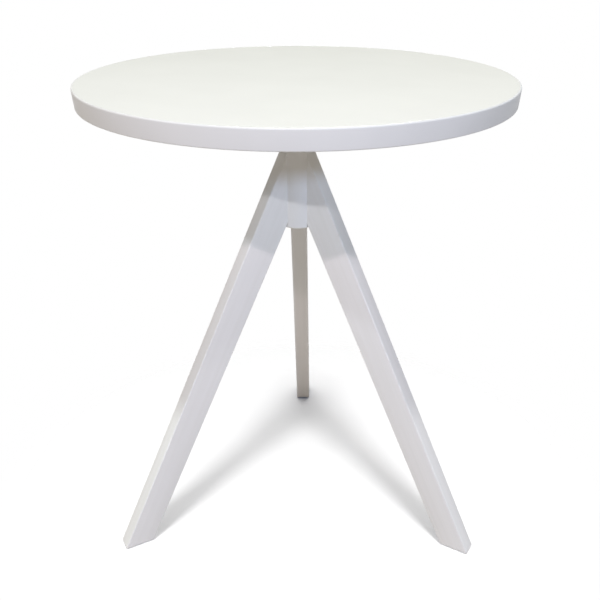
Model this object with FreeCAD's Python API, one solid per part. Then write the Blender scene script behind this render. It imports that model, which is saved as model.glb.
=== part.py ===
import FreeCAD, Part
import math
import os
from FreeCAD import Vector

# A round table on three splayed plank legs, in millimetres.
# The origin is on the floor under the post's axis, +Z is up and the rear leg points along +Y.

# Overall sizes
table_height = 750.0
top_diameter = 650.0
top_thickness = 28.0
edge_lean = 2.5

# Make-up of the top: board, a sheet on each face and a band round the edge
laminate_thickness = 0.8
backer_thickness = 0.8
band_thickness = 3.0
band_arris = 2.2
band_glue = 0.1

# Legs: planks on edge, cut plumb at the post and level at the floor
leg_thickness = 26.0
leg_reach = 334.0
foot_length = 48.0
leg_tip_height = 638.0
seat_height = 113.0
leg_arris = 2.0
leg_names = ("rear", "front_left", "front_right")
rear_leg_angle = 90.0

# Turned post, with a flat as wide as the leg for each of the three
post_diameter = 56.0
post_chamfer = 1.5
flat_shoulder = 0.5

# Dowels across the joint between leg and post
dowel_diameter = 10.0
dowel_length = 40.0
dowel_chamfer = 1.0
dowel_inner_radius = 9.0
dowel_above_seat = 14.0
dowel_cover = 4.0
dowel_end_gap = 1.0

# Plate that carries the top
plate_diameter = 240.0
plate_thickness = 5.0
plate_chamfer = 1.0
boss_diameter = 24.0
boss_height = 12.0

# Bolts from the plate up into the top
bolt_count = 6
bolt_circle = 200.0
bolt_first_angle = 0.0
bolt_diameter = 6.0
bolt_length = 16.0
bolt_head_diameter = 10.5
bolt_head_height = 3.3
bolt_head_rim = 1.1
bolt_head_flat = 6.0
bolt_socket = 4.0
bolt_socket_depth = 2.0
insert_diameter = 10.0
insert_length = 13.0
insert_end_gap = 1.0

# Screws from the plate down into the post
screw_count = 3
screw_circle = 40.0
screw_first_angle = 30.0
screw_diameter = 5.0
screw_length = 40.0
screw_head_diameter = 10.0
screw_point = 4.0
screw_end_gap = 1.0

# Long bolt up the middle of the post
centre_bolt_diameter = 8.0
centre_bolt_end_gap = 2.0
centre_head_diameter = 13.0
centre_head_height = 8.0
centre_socket = 6.0
centre_socket_depth = 4.0
centre_recess_diameter = 20.0
centre_recess_depth = 11.0
washer_diameter = 16.0
washer_thickness = 1.6

# Glides under the feet, each moulded round the head of a nail
glide_diameter = 22.0
glide_thickness = 3.0
glide_chamfer = 0.8
glide_floor = 1.2
nail_diameter = 2.5
nail_length = 18.0
nail_point = 3.0
nail_head_diameter = 7.0
nail_head_height = 0.8

# Radial clearances
close_fit = 0.05
bolt_clearance = 0.5

# Places that follow from the sizes above
up = Vector(0, 0, 1)
axis_foot = Vector(0, 0, 0)
leg_angles = [rear_leg_angle + 360 * i / len(leg_names) for i in range(len(leg_names))]
underside = table_height - top_thickness
core_bottom = underside + backer_thickness
core_top = table_height - laminate_thickness
sheet_inset = band_thickness + band_glue
post_radius = post_diameter / 2
post_top = underside - plate_thickness
boss_bottom = post_top - boss_height
seat_distance = math.sqrt(post_radius**2 - (leg_thickness / 2) ** 2)
seat_bottom = leg_tip_height - seat_height
foot_inner = leg_reach - foot_length
foot_centre = leg_reach - foot_length / 2
outer_slope = (leg_reach - seat_distance) / (leg_tip_height - glide_thickness)
inner_slope = (foot_inner - seat_distance) / (seat_bottom - glide_thickness)
post_bottom = glide_thickness + (foot_inner - post_radius) / inner_slope
recess_top = post_bottom + centre_recess_depth

dowel_outer_radius = dowel_inner_radius + dowel_length
dowel_low = seat_bottom + dowel_above_seat
leg_needed_above_dowel = dowel_outer_radius + dowel_end_gap + dowel_cover - seat_distance
dowel_high = leg_tip_height - leg_needed_above_dowel / outer_slope - dowel_diameter / 2


def turned(outline):
    """A solid of revolution about Z from a closed outline of (radius, height) points."""
    points = [Vector(radius, 0, height) for radius, height in outline]
    face = Part.Face(Part.makePolygon(points + points[:1]))
    return face.revolve(axis_foot, up, 360)


def drilled(diameter, low, high, centre=axis_foot):
    """An upright round bore from one height to another."""
    return Part.makeCylinder(diameter / 2, high - low, Vector(centre.x, centre.y, low))


def on_circle(diameter, count, first_angle):
    """Points evenly spaced on a circle about the axis."""
    angles = [math.radians(first_angle + 360 * i / count) for i in range(count)]
    return [Vector(math.cos(a), math.sin(a), 0) * (diameter / 2) for a in angles]


def turned_about_axis(shape, angle):
    """A copy turned about the table's axis."""
    copy = shape.copy()
    copy.rotate(axis_foot, up, angle)
    return copy


def copies_at(shape, points):
    """A group of separate copies, one at each point."""
    return Part.makeCompound([shape.translated(point) for point in points])


def rims(shape, radius, heights):
    """The circular edges of one radius at the given heights."""
    found = []
    for edge in shape.Edges:
        if not isinstance(edge.Curve, Part.Circle):
            continue
        if abs(edge.Curve.Radius - radius) > 1e-6:
            continue
        if any(abs(edge.Curve.Center.z - height) < 1e-6 for height in heights):
            found.append(edge)
    return found


def hex_socket(across_flats, bottom, depth):
    """The hexagonal hole for a key, cut upwards from the bottom of a bolt head."""
    corner = across_flats / math.sqrt(3)
    corners = [Vector(p.x, p.y, bottom) for p in on_circle(2 * corner, 6, 0)]
    return Part.Face(Part.makePolygon(corners + corners[:1])).extrude(up * depth)


bolt_points = on_circle(bolt_circle, bolt_count, bolt_first_angle)
screw_points = on_circle(screw_circle, screw_count, screw_first_angle)
insert_bore = insert_diameter + 2 * close_fit


# Tabletop
def edge_radius(height):
    """Radius of the top at a height: its edge leans in towards the underside."""
    return top_diameter / 2 - edge_lean * (table_height - height) / top_thickness


def slice_of_top(low, high):
    """A round slice of the top, as far out as the edge band."""
    return turned(
        [
            (0, low),
            (edge_radius(low) - sheet_inset, low),
            (edge_radius(high) - sheet_inset, high),
            (0, high),
        ]
    )


def tabletop_core():
    core = slice_of_top(core_bottom, core_top)
    bore_top = underside + insert_length + insert_end_gap
    for point in bolt_points:
        core = core.cut(drilled(insert_bore, core_bottom, bore_top, point))
    return core


def tabletop_laminate():
    return slice_of_top(core_top, table_height)


def tabletop_backer():
    sheet = slice_of_top(underside, core_bottom)
    for point in bolt_points:
        sheet = sheet.cut(drilled(insert_bore, underside, core_bottom, point))
    return sheet


def tabletop_edge_band():
    lower = edge_radius(underside)
    upper = edge_radius(table_height)
    band = turned(
        [
            (lower - band_thickness, underside),
            (lower, underside),
            (upper, table_height),
            (upper - band_thickness, table_height),
        ]
    )
    arrises = rims(band, lower, (underside,)) + rims(band, upper, (table_height,))
    return band.makeFillet(band_arris, arrises)


def threaded_inserts():
    insert = drilled(insert_diameter, underside, underside + insert_length)
    thread = drilled(bolt_diameter + 2 * close_fit, underside, underside + insert_length)
    return copies_at(insert.cut(thread), bolt_points)


# Plate under the top and what fastens it
def mounting_plate():
    plate = drilled(plate_diameter, post_top, underside)
    plate = plate.makeChamfer(plate_chamfer, rims(plate, plate_diameter / 2, (post_top,)))
    for point in bolt_points:
        plate = plate.cut(drilled(bolt_diameter + 2 * bolt_clearance, post_top, underside, point))
    screw_hole = screw_outline(close_fit, post_top)
    for point in screw_points:
        plate = plate.cut(turned(screw_hole).translated(point))
    return plate


def plate_boss():
    boss = drilled(boss_diameter, boss_bottom, post_top)
    return boss.cut(drilled(centre_bolt_diameter + 2 * close_fit, boss_bottom, post_top))


def plate_bolts():
    head = bolt_head_diameter / 2
    shank = bolt_diameter / 2
    face = post_top - bolt_head_height
    bolt = turned(
        [
            (0, face),
            (bolt_head_flat / 2, face),
            (head, post_top - bolt_head_rim),
            (head, post_top),
            (shank, post_top),
            (shank, post_top + bolt_length),
            (0, post_top + bolt_length),
        ]
    )
    return copies_at(bolt.cut(hex_socket(bolt_socket, face, bolt_socket_depth)), bolt_points)


def screw_outline(gap, end, point=0.0):
    """Outline of a countersunk screw, or of its hole, from the plate's upper face down to its end."""
    head = screw_head_diameter / 2 + gap
    shank = screw_diameter / 2 + gap
    cone_bottom = underside - (screw_head_diameter - screw_diameter) / 2
    return [(0, end), (shank, end + point), (shank, cone_bottom), (head, underside), (0, underside)]


def plate_screws():
    return copies_at(turned(screw_outline(0.0, underside - screw_length, screw_point)), screw_points)


def centre_bolt():
    head_top = recess_top - washer_thickness
    head_bottom = head_top - centre_head_height
    head = drilled(centre_head_diameter, head_bottom, head_top)
    shank = drilled(centre_bolt_diameter, head_top, post_top - centre_bolt_end_gap)
    return head.fuse(shank).cut(hex_socket(centre_socket, head_bottom, centre_socket_depth))


def centre_washer():
    washer = drilled(washer_diameter, recess_top - washer_thickness, recess_top)
    hole = centre_bolt_diameter + 2 * bolt_clearance
    return washer.cut(drilled(hole, recess_top - washer_thickness, recess_top))


# Base
def joint_cylinders(radius, inner, length):
    """Two level cylinders across the joint of a leg along +X, from an inner radius outwards."""
    along = Vector(1, 0, 0)
    return [Part.makeCylinder(radius, length, Vector(inner, 0, z), along) for z in (dowel_low, dowel_high)]


def dowel_bores():
    radius = dowel_diameter / 2 + close_fit
    return joint_cylinders(radius, dowel_inner_radius - dowel_end_gap, dowel_length + 2 * dowel_end_gap)


def leg_dowels():
    dowels = []
    for dowel in joint_cylinders(dowel_diameter / 2, dowel_inner_radius, dowel_length):
        ends = [edge for edge in dowel.Edges if isinstance(edge.Curve, Part.Circle)]
        dowel = dowel.makeChamfer(dowel_chamfer, ends)
        dowels += [turned_about_axis(dowel, angle) for angle in leg_angles]
    return Part.makeCompound(dowels)


def seat_cut():
    """What is milled off the post to seat a leg along +X."""
    height = leg_tip_height + flat_shoulder - post_bottom
    corner = Vector(seat_distance, -leg_thickness, post_bottom)
    return Part.makeBox(post_radius, 2 * leg_thickness, height, corner)


def centre_post():
    post = drilled(post_diameter, post_bottom, post_top)
    post = post.makeChamfer(post_chamfer, rims(post, post_radius, (post_bottom,)))
    post = post.cut(drilled(centre_recess_diameter, post_bottom, recess_top))
    post = post.cut(drilled(centre_bolt_diameter + 2 * bolt_clearance, recess_top, boss_bottom))
    post = post.cut(drilled(boss_diameter + 2 * close_fit, boss_bottom, post_top))
    pilot_bottom = underside - screw_length - screw_end_gap
    for point in screw_points:
        post = post.cut(drilled(screw_diameter + 2 * close_fit, pilot_bottom, post_top, point))
    for angle in leg_angles:
        for cut in [seat_cut()] + dowel_bores():
            post = post.cut(turned_about_axis(cut, angle))
    return post


def is_raked(edge):
    """Whether an edge leans outwards and up at once, as a leg's long arrises do."""
    direction = edge.Vertexes[1].Point - edge.Vertexes[0].Point
    return abs(direction.x * direction.z) > 1e-6


def leg(angle):
    """A plank on edge, tapering to the foot, with its long arrises rounded."""
    side = [
        Vector(leg_reach, -leg_thickness / 2, glide_thickness),
        Vector(seat_distance, -leg_thickness / 2, leg_tip_height),
        Vector(seat_distance, -leg_thickness / 2, seat_bottom),
        Vector(foot_inner, -leg_thickness / 2, glide_thickness),
    ]
    plank = Part.Face(Part.makePolygon(side + side[:1])).extrude(Vector(0, leg_thickness, 0))
    long_edges = [edge for edge in plank.Edges if is_raked(edge)]
    plank = plank.makeFillet(leg_arris, long_edges)
    for bore in dowel_bores():
        plank = plank.cut(bore)
    nail_hole = turned(nail_outline(close_fit)).translated(Vector(foot_centre, 0, 0))
    return turned_about_axis(plank.cut(nail_hole), angle)


# Feet
def nail_outline(gap):
    """Outline of the nail, or of the space that it fills."""
    head = nail_head_diameter / 2 + gap
    shank = nail_diameter / 2 + gap
    head_top = glide_floor + nail_head_height
    tip = glide_floor + nail_length
    return [
        (0, glide_floor),
        (head, glide_floor),
        (head, head_top),
        (shank, head_top),
        (shank, tip - nail_point),
        (0, tip),
    ]


def glide(angle):
    disc = drilled(glide_diameter, 0, glide_thickness)
    disc = disc.makeChamfer(glide_chamfer, rims(disc, glide_diameter / 2, (0,)))
    disc = disc.cut(turned(nail_outline(close_fit)))
    return turned_about_axis(disc.translated(Vector(foot_centre, 0, 0)), angle)


def glide_nails():
    nail = turned(nail_outline(0.0)).translated(Vector(foot_centre, 0, 0))
    return Part.makeCompound([turned_about_axis(nail, angle) for angle in leg_angles])


def build():
    parts = {
        "tabletop_core": tabletop_core(),
        "tabletop_laminate": tabletop_laminate(),
        "tabletop_backer": tabletop_backer(),
        "tabletop_edge_band": tabletop_edge_band(),
        "threaded_inserts": threaded_inserts(),
        "mounting_plate": mounting_plate(),
        "plate_boss": plate_boss(),
        "plate_bolts": plate_bolts(),
        "plate_screws": plate_screws(),
        "centre_bolt": centre_bolt(),
        "centre_washer": centre_washer(),
        "centre_post": centre_post(),
        "leg_dowels": leg_dowels(),
        "glide_nails": glide_nails(),
    }
    for name, angle in zip(leg_names, leg_angles):
        parts[f"leg_{name}"] = leg(angle)
        parts[f"glide_{name}"] = glide(angle)
    return parts


os.makedirs("parts", exist_ok=True)
for name, shape in build().items():
    shape.exportStep(f"parts/{name}.step")
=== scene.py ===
import math
import bmesh
import bpy
from mathutils import Matrix, Vector


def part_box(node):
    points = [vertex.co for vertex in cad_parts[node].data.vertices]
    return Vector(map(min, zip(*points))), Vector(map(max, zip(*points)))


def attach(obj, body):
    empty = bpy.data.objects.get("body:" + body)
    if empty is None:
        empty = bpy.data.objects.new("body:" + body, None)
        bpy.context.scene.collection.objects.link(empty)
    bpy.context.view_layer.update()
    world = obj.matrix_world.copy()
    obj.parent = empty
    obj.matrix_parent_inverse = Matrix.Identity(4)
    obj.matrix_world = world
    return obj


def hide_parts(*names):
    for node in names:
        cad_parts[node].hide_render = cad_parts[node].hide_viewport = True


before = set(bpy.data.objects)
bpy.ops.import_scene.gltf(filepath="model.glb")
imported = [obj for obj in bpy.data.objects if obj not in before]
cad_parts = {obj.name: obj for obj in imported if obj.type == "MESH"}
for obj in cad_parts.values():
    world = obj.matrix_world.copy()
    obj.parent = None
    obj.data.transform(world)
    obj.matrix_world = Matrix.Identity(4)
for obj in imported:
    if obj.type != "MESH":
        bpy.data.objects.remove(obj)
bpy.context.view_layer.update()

# A white tripod table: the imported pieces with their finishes, and finer meshes for what shows most.
# Lengths are in metres, in the part's own frame, with Z up and the rear leg towards Y.

# Camera, as fitted to the photograph's 600 by 600 frame
photo_side = 600
focal_pixels = 783.0
optical_centre = (307.4, 269.7)
camera_distance = 1.1809
camera_height = 0.9558
camera_round = math.radians(1.91)
camera_pan = math.radians(-1.16)
camera_tilt = math.radians(-23.75)
sensor_width = 36.0

# Light
fill_colour = (1.0, 0.87, 0.62, 1.0)
fill_strength = 0.16
white = (1.0, 1.0, 1.0)
lamp_aim = Vector((0, 0, 0.55))

# Floor, which fades out between two distances from the table's axis
floor_reach = 1.6  # from its middle to each side
floor_bounce = (0.434, 0.405, 0.379, 1.0)  # its colour for the light that it throws back
floor_shade = (0.90, 0.90, 0.90, 1.0)  # its colour as the camera sees it
floor_roughness = 0.9
floor_glow = 0.054  # evens out the warm fill in the shadows
floor_glow_colour = (0.0, 0.33, 1.0, 1.0)
fade_start = 0.40
fade_end = 0.56

# Edge band of the top
top_radius = 0.325
edge_lean = 0.0025
band_thickness = 0.003
band_arris = 0.0022
turn_steps = 256
round_steps = 8

# Legs
leg_arris = 0.002
foot_arris = 0.0015
leg_arris_steps = 4
foot_arris_steps = 2
leg_turns = {"leg_rear": 0.0, "leg_front_left": 120.0, "leg_front_right": 240.0}
leg_slope = Vector((0, -0.285, 0.578))  # the rear leg's direction, from its foot to the post
long_edge_span = 0.1  # only a leg's long edges reach further than this along Y

# Meshes
round_profile = 0.5  # makes a bevel round
sharp_angle = math.radians(40)
same_place = 1e-5  # corners nearer than this to a plane lie in it
micrometre = 1e-6


class Finish:
    """A procedural material, with short calls for the nodes that the finishes share."""

    def __init__(self, name):
        self.material = bpy.data.materials.new(name)
        self.material.use_nodes = True
        self.tree = self.material.node_tree
        self.surface = self.tree.nodes["Principled BSDF"]
        self.place = self.add("TexCoord").outputs["Object"]

    def add(self, kind, inputs=None, **settings):
        """A new node, its settings and its inputs, which are values or other nodes' outputs."""
        node = self.tree.nodes.new("ShaderNode" + kind)
        for name, value in settings.items():
            setattr(node, name, value)
        for socket, value in (inputs or {}).items():
            self.put(node.inputs[socket], value)
        return node

    def put(self, socket, value):
        """Links an output to an input, or sets the input to a value."""
        if isinstance(value, bpy.types.NodeSocket):
            self.tree.links.new(value, socket)
        else:
            socket.default_value = value

    def set(self, **values):
        """Inputs of the surface shader, with _ for a space in their names."""
        for name, value in values.items():
            self.put(self.surface.inputs[name.replace("_", " ")], value)

    def math(self, operation, a, b):
        return self.add("Math", {0: a, 1: b}, operation=operation).outputs[0]

    def stretched(self, scale, turn=(0, 0, 0)):
        """Coordinates that are turned, then scaled along each axis."""
        turned = self.add("Mapping", {"Vector": self.place, "Rotation": turn})
        scaled = self.add("VectorMath", {0: turned.outputs[0], 1: scale}, operation="MULTIPLY")
        return scaled.outputs[0]

    def noise(self, detail, scale=1.0, place=None):
        """Soft spots: the scale, or that of stretched coordinates, says how many to the metre."""
        inputs = {"Vector": place or self.place, "Scale": scale, "Detail": detail}
        return self.add("TexNoise", inputs).outputs["Fac"]

    def spread(self, value, low, high, start=0.3, end=0.7):
        """A value between start and end, spread evenly between low and high."""
        inputs = {"Value": value, "From Min": start, "From Max": end, "To Min": low, "To Max": high}
        return self.add("MapRange", inputs).outputs["Result"]

    def blend(self, share, first, second):
        node = self.add("Mix", {0: share, 6: first, 7: second}, data_type="RGBA")
        return node.outputs[2]

    def colour(self, pattern, first, second):
        """A base colour that goes from the first tint to the second as the pattern does."""
        share = self.spread(pattern, 0.0, 1.0)
        self.set(Base_Color=self.blend(share, (*first, 1.0), (*second, 1.0)))

    def bumps(self, *layers):
        """Bump from pairs of a height between 0 and 1 and its depth in micrometres."""
        normal = None
        for height, depth in layers:
            node = self.add("Bump", {"Height": height, "Distance": depth * micrometre})
            if normal:
                self.put(node.inputs["Normal"], normal)
            normal = node.outputs["Normal"]
        self.set(Normal=normal)


# Finishes
def laminate_finish():
    """Warm white laminate, with wipe marks in its sheen and a fine grit."""
    made = Finish("warm_white_laminate")
    cloud = made.noise(scale=9.0, detail=2.0)
    wiped = made.noise(place=made.stretched((5.0, 38.0, 5.0), turn=(0, 0, 0.6)), detail=4.0)
    grit = made.noise(scale=1900.0, detail=2.0)
    made.colour(cloud, first=(0.85, 0.85, 0.82), second=(0.87, 0.87, 0.84))
    made.set(Roughness=made.spread(wiped, low=0.50, high=0.57), Specular_IOR_Level=0.25)
    made.bumps((grit, 30))
    return made.material


def edge_band_finish():
    """White plastic band, finely pebbled."""
    made = Finish("white_edge_band")
    cloud = made.noise(scale=14.0, detail=2.0)
    pebble = made.noise(scale=1300.0, detail=2.0)
    made.colour(cloud, first=(0.80, 0.80, 0.80), second=(0.83, 0.83, 0.83))
    made.set(Roughness=made.spread(cloud, low=0.36, high=0.44), Specular_IOR_Level=0.15)
    made.bumps((pebble, 20))
    return made.material


def lacquer_finish(name, direction):
    """White lacquer on wood whose grain runs along a direction."""
    made = Finish(name)
    turn = Vector(direction).rotation_difference(Vector((1, 0, 0))).to_euler()
    grain = made.noise(place=made.stretched((4.0, 150.0, 150.0), turn), detail=5.0)
    pores = made.noise(place=made.stretched((90.0, 1500.0, 1500.0), turn), detail=2.0)
    peel = made.noise(scale=420.0, detail=1.0)
    cloud = made.noise(scale=16.0, detail=2.0)
    made.colour(grain, first=(0.83, 0.83, 0.83), second=(0.86, 0.86, 0.865))
    made.set(Roughness=made.spread(cloud, low=0.50, high=0.58), Specular_IOR_Level=0.4)
    pitted = made.spread(pores, low=0.0, high=1.0, start=0.2, end=0.5)
    made.bumps((pitted, 30), (peel, 20), (grain, 40))
    return made.material


def backer_finish():
    """Matt white sheet under the top, pebbled."""
    made = Finish("white_backer")
    cloud = made.noise(scale=22.0, detail=4.0)
    pebble = made.noise(scale=900.0, detail=2.0)
    made.colour(cloud, first=(0.77, 0.77, 0.75), second=(0.81, 0.81, 0.79))
    made.set(Roughness=made.spread(cloud, low=0.5, high=0.58))
    made.bumps((pebble, 40))
    return made.material


def powder_coat_finish():
    """White powder coat with its orange peel."""
    made = Finish("white_powder_coat")
    peel = made.noise(scale=380.0, detail=1.0)
    cloud = made.noise(scale=30.0, detail=2.0)
    made.colour(cloud, first=(0.78, 0.78, 0.77), second=(0.82, 0.82, 0.81))
    made.set(Roughness=made.spread(peel, low=0.32, high=0.42))
    made.bumps((peel, 60))
    return made.material


def zinc_finish():
    """Bright zinc plate, cloudy and finely scratched round the axis."""
    made = Finish("bright_zinc")
    cloud = made.noise(scale=160.0, detail=3.0)
    scratch = made.noise(place=made.stretched((300.0, 300.0, 2600.0)), detail=2.0)
    made.colour(cloud, first=(0.56, 0.57, 0.60), second=(0.68, 0.67, 0.64))
    made.set(Metallic=1.0, Roughness=made.spread(scratch, low=0.26, high=0.42))
    made.bumps((scratch, 10))
    return made.material


def nylon_finish():
    """Pale grey nylon."""
    made = Finish("pale_nylon")
    cloud = made.noise(scale=220.0, detail=3.0)
    made.colour(cloud, first=(0.66, 0.66, 0.64), second=(0.74, 0.74, 0.72))
    made.set(Roughness=made.spread(cloud, low=0.4, high=0.55))
    made.bumps((cloud, 30))
    return made.material


def particle_board_finish():
    """Pressed wood chips, each with a tone of its own."""
    made = Finish("particle_board")
    chips = made.add("TexVoronoi", {"Vector": made.stretched((260.0, 140.0, 420.0)), "Scale": 1.0})
    tone = made.add("SeparateColor", {"Color": chips.outputs["Color"]}).outputs["Red"]
    dark_chip = (0.36, 0.24, 0.13, 1.0)
    pale_chip = (0.66, 0.52, 0.35, 1.0)
    made.set(Base_Color=made.blend(tone, dark_chip, pale_chip), Roughness=0.85)
    made.bumps((chips.outputs["Distance"], 200))
    return made.material


def beech_finish():
    """Raw beech with its flecks."""
    made = Finish("beech")
    fleck = made.noise(place=made.stretched((700.0, 700.0, 260.0)), detail=4.0)
    made.colour(fleck, first=(0.52, 0.34, 0.20), second=(0.68, 0.50, 0.33))
    made.set(Roughness=made.spread(fleck, low=0.55, high=0.7))
    made.bumps((fleck, 50))
    return made.material


# Mesh helpers
def piece(name, shape, material, slot, *replaced):
    """A new smooth-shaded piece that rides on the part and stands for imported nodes."""
    mesh = bpy.data.meshes.new(name)
    shape.to_mesh(mesh)
    shape.free()
    mesh.shade_smooth()
    mesh.set_sharp_from_angle(angle=sharp_angle)
    mesh.materials.append(material)
    made = bpy.data.objects.new(name, mesh)
    bpy.context.scene.collection.objects.link(made)
    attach(made, "root")
    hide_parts(*replaced)


def lathe(outline):
    """A closed ring of quads about Z from a closed outline of (radius, height) points."""
    made = bmesh.new()
    rows = []
    for i in range(turn_steps):
        a = math.tau * i / turn_steps
        rows.append([made.verts.new((r * math.cos(a), r * math.sin(a), z)) for r, z in outline])
    count = len(outline)
    for i, row in enumerate(rows):
        following = rows[(i + 1) % turn_steps]
        for j in range(count):
            k = (j + 1) % count
            made.faces.new((row[j], following[j], following[k], row[k]))
    bmesh.ops.recalc_face_normals(made, faces=made.faces)
    return made


def rounded(corner, before, after, radius):
    """Points that round off an outline's corner between its two neighbours."""
    corner = Vector(corner)
    first = (Vector(before) - corner).normalized()
    second = (Vector(after) - corner).normalized()
    half = first.angle(second) / 2
    centre = corner + (first + second).normalized() * radius / math.sin(half)
    start = corner + first * radius / math.tan(half) - centre
    end = corner + second * radius / math.tan(half) - centre
    return [centre + start.slerp(end, i / round_steps) * radius for i in range(round_steps + 1)]


def round_edges(shape, edges, radius, steps):
    """Rounds off some edges of a shape."""
    bmesh.ops.bevel(shape, geom=edges, offset=radius, segments=steps, profile=round_profile,
                    affect="EDGES")


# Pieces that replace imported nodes
def edge_band(material):
    """The band round the top, leaning in towards the underside, with rounded arrises."""
    low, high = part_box("tabletop_edge_band")
    lower = top_radius - edge_lean
    low_in, low_out = (lower - band_thickness, low.z), (lower, low.z)
    high_out, high_in = (top_radius, high.z), (top_radius - band_thickness, high.z)
    outline = [Vector(low_in)]
    outline += rounded(low_out, low_in, high_out, band_arris)
    outline += rounded(high_out, low_out, high_in, band_arris)
    outline += [Vector(high_in)]
    piece("edge_band", lathe(outline), material, "white_edge_band", "tabletop_edge_band")


def plank_leg(node, material):
    """A plank leg with rounded arrises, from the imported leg's own corners."""
    back = Matrix.Rotation(math.radians(-leg_turns[node]), 3, "Z")
    corners = [back @ vertex.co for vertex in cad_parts[node].data.vertices]
    ground = min(c.z for c in corners)
    seat = min(c.y for c in corners)
    half = max(c.x for c in corners)
    foot = [c.y for c in corners if c.z < ground + same_place]
    joint = [c.z for c in corners if c.y < seat + same_place]
    side = [(max(foot), ground), (seat, max(joint)), (seat, min(joint)), (min(foot), ground)]
    made = bmesh.new()
    face = made.faces.new([made.verts.new((-half, y, z)) for y, z in side])
    grown = bmesh.ops.extrude_face_region(made, geom=[face])
    moved = [v for v in grown["geom"] if isinstance(v, bmesh.types.BMVert)]
    bmesh.ops.translate(made, verts=moved, vec=(2 * half, 0, 0))
    bmesh.ops.recalc_face_normals(made, faces=made.faces)

    def is_long(edge):
        a, b = (v.co for v in edge.verts)
        return abs(a.y - b.y) > long_edge_span

    def is_foot(edge):
        return all(v.co.z < ground + same_place for v in edge.verts)

    round_edges(made, [edge for edge in made.edges if is_long(edge)], leg_arris, leg_arris_steps)
    round_edges(made, [edge for edge in made.edges if is_foot(edge)], foot_arris, foot_arris_steps)
    bmesh.ops.rotate(made, verts=made.verts, cent=(0, 0, 0), matrix=back.inverted())
    piece(node + "_plank", made, material, "white_lacquered_wood", node)


def dress(nodes, material):
    """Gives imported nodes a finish."""
    for name in nodes:
        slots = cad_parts[name].data.materials
        slots.clear()
        slots.append(material)


def build_table():
    edge_band(edge_band_finish())
    dress(["tabletop_laminate"], laminate_finish())
    dress(["tabletop_backer"], backer_finish())
    dress(["tabletop_core"], particle_board_finish())
    dress(["mounting_plate"], powder_coat_finish())
    zinc = zinc_finish()
    dress(["threaded_inserts", "plate_boss", "plate_bolts", "plate_screws"], zinc)
    dress(["centre_bolt", "centre_washer", "glide_nails"], zinc)
    dress(["leg_dowels"], beech_finish())
    dress(["glide_rear", "glide_front_left", "glide_front_right"], nylon_finish())
    dress(["centre_post"], lacquer_finish("lacquered_post", (0, 0, 1)))
    for node, turn in leg_turns.items():
        slope = Matrix.Rotation(math.radians(turn), 3, "Z") @ leg_slope
        plank_leg(node, lacquer_finish("lacquered_" + node, slope))


# Stage
def seen_rays(tree):
    """1 for a ray from the camera, a mirror or glass, and 0 for one that carries diffuse light."""
    path = tree.nodes.new("ShaderNodeLightPath")
    seen = path.outputs["Is Camera Ray"]
    for other in ("Is Glossy Ray", "Is Transmission Ray"):
        either = tree.nodes.new("ShaderNodeMath")
        either.operation = "MAXIMUM"
        tree.links.new(seen, either.inputs[0])
        tree.links.new(path.outputs[other], either.inputs[1])
        seen = either.outputs[0]
    return seen


def add_floor():
    """A pale floor that throws a warm light back at the table and fades into the white round it.

    Its faint blue glow evens out the warm fill in the shadows. From below it is clear.
    """
    made = bmesh.new()
    bmesh.ops.create_grid(made, x_segments=1, y_segments=1, size=floor_reach)
    mesh = bpy.data.meshes.new("floor")
    made.to_mesh(mesh)
    made.free()
    floor = bpy.data.objects.new("floor", mesh)
    bpy.context.scene.collection.objects.link(floor)
    finish = Finish("pale_floor")
    seen = seen_rays(finish.tree)
    finish.set(Base_Color=finish.blend(seen, floor_bounce, floor_shade), Roughness=floor_roughness)
    finish.set(Specular_IOR_Level=0.0, Emission_Color=floor_glow_colour)
    finish.set(Emission_Strength=finish.math("MULTIPLY", seen, floor_glow))
    away = finish.add("VectorMath", {0: finish.place}, operation="LENGTH").outputs["Value"]
    fade = finish.spread(away, low=1.0, high=0.0, start=fade_start, end=fade_end)
    solid = finish.math("MAXIMUM", fade, finish.math("SUBTRACT", 1.0, seen))
    front = finish.math("SUBTRACT", 1.0, finish.add("NewGeometry").outputs["Backfacing"])
    finish.set(Alpha=finish.math("MULTIPLY", solid, front))
    mesh.materials.append(finish.material)
    return floor


def add_world():
    """White where it is seen or mirrored, and a dim warm fill for everything else."""
    world = bpy.data.worlds.new("studio")
    bpy.context.scene.world = world
    world.use_nodes = True
    nodes, links = world.node_tree.nodes, world.node_tree.links
    fill = nodes["Background"]
    fill.inputs["Color"].default_value = fill_colour
    fill.inputs["Strength"].default_value = fill_strength
    backdrop = nodes.new("ShaderNodeBackground")
    backdrop.inputs["Color"].default_value = (*white, 1.0)
    backdrop.inputs["Strength"].default_value = 1.0
    mixed = nodes.new("ShaderNodeMixShader")
    links.new(seen_rays(world.node_tree), mixed.inputs[0])
    links.new(fill.outputs[0], mixed.inputs[1])
    links.new(backdrop.outputs[0], mixed.inputs[2])
    links.new(mixed.outputs[0], nodes["World Output"].inputs["Surface"])


def named(pieces, *starts):
    """The pieces whose names start in one of these ways."""
    return [thing for thing in pieces if thing.name.startswith(starts)]


def group(name, things):
    """A collection of what a lamp lights, or of what blocks its light."""
    made = bpy.data.collections.new(name)
    for thing in things:
        made.objects.link(thing)
    return made


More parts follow.
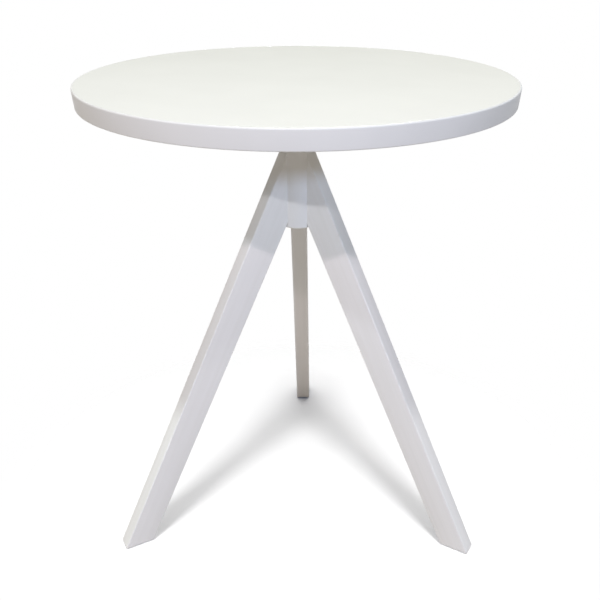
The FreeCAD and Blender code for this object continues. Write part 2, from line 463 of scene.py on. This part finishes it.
def add_lamp(name, lit, azimuth, elevation, distance, size, power, colour=white, blockers=None):
    """A round soft lamp aimed at the table, azimuth 0 in front and positive to the right."""
    data = bpy.data.lights.new(name, "AREA")
    data.shape = "DISK"
    data.size = size
    data.energy = power
    data.color = colour
    data.cycles.use_multiple_importance_sampling = False
    lamp = bpy.data.objects.new(name, data)
    a, e = math.radians(azimuth), math.radians(elevation)
    away = Vector((math.sin(a) * math.cos(e), -math.cos(a) * math.cos(e), math.sin(e)))
    lamp.location = lamp_aim + away * distance
    lamp.rotation_mode = "QUATERNION"
    lamp.rotation_quaternion = away.to_track_quat("Z", "Y")
    lamp.visible_camera = False
    lamp.light_linking.receiver_collection = lit
    lamp.light_linking.blocker_collection = blockers
    bpy.context.scene.collection.objects.link(lamp)


def add_table_lamps(pieces, base):
    """Lamps for the table, each linked to the pieces that it lights."""
    table = group("table", pieces)
    front_legs = group("front_legs", named(pieces, "leg_front"))
    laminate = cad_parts["tabletop_laminate"]
    laminate_alone = group("laminate", [laminate])
    all_but_laminate = group("all_but_laminate", [thing for thing in pieces if thing != laminate])
    add_lamp("front_right", all_but_laminate, azimuth=25, elevation=22.8, distance=3.5, size=0.30,
             power=39.5, colour=(0.56, 0.71, 1.0))
    add_lamp("front_left", all_but_laminate, azimuth=-24, elevation=28.5, distance=3.5, size=0.06,
             power=24.6, colour=(0.99, 0.98, 1.0))
    add_lamp("high_front", all_but_laminate, azimuth=-9, elevation=40, distance=3.5, size=0.08,
             power=28, colour=(1.0, 0.86, 0.88))
    add_lamp("zenith", table, azimuth=0, elevation=84, distance=3.0, size=2.2,
             power=44.5, colour=(0.93, 1.0, 0.93))
    add_lamp("high_top", laminate_alone, azimuth=0, elevation=50, distance=2.6, size=0.8,
             power=31, colour=(0.89, 0.88, 1.0))
    add_lamp("left", base, azimuth=-66, elevation=40.9, distance=3.0, size=0.10,
             power=14, colour=(0.85, 0.93, 1.0))
    add_lamp("right", base, azimuth=64, elevation=45, distance=3.0, size=0.20,
             power=12, colour=(0.97, 0.94, 1.0))
    add_lamp("steep_left", front_legs, azimuth=-60, elevation=73, distance=3.0, size=0.18,
             power=50, colour=(0.90, 1.0, 0.95))
    add_lamp("steep_right", front_legs, azimuth=60, elevation=73, distance=3.0, size=0.18,
             power=29, colour=(1.0, 1.0, 0.95))
    add_lamp("behind", all_but_laminate, azimuth=180, elevation=20, distance=3.5, size=1.2, power=60)


def add_floor_lamps(pieces, base, floor):
    """Lamps for the floor, which only the base blocks, and one of them only its rear."""
    stage_floor = group("stage_floor", [floor])
    rear = group("rear", named(pieces, "leg_rear", "centre_post", "glide_rear"))
    add_lamp("floor_front", stage_floor, azimuth=-2, elevation=67, distance=3.0, size=0.50,
             power=56.6, blockers=base)
    add_lamp("floor_behind", stage_floor, azimuth=0, elevation=72, distance=3.0, size=1.1,
             power=46, blockers=rear)
    add_lamp("floor_wide", stage_floor, azimuth=0, elevation=75, distance=3.0, size=2.0,
             power=35.9, blockers=base)


def add_camera():
    """The photograph's camera, by its place, its turns and the shift of its optical centre."""
    data = bpy.data.cameras.new("camera")
    data.sensor_width = sensor_width
    data.lens = sensor_width * focal_pixels / photo_side
    data.shift_x = (photo_side / 2 - optical_centre[0]) / photo_side
    data.shift_y = (optical_centre[1] - photo_side / 2) / photo_side
    camera = bpy.data.objects.new("camera", data)
    side = camera_distance * math.sin(camera_round)
    front = -camera_distance * math.cos(camera_round)
    camera.location = (side, front, camera_height)
    camera.rotation_euler = (math.pi / 2 + camera_tilt, 0, -camera_pan)
    bpy.context.scene.collection.objects.link(camera)
    bpy.context.scene.camera = camera


build_table()
table_pieces = [thing for thing in bpy.data.objects if thing.type == "MESH"]
base_group = group("base", named(table_pieces, "leg_", "centre_post", "glide_"))
add_world()
add_table_lamps(table_pieces, base_group)
add_floor_lamps(table_pieces, base_group, add_floor())
add_camera()
bpy.context.scene.view_settings.view_transform = "Standard"
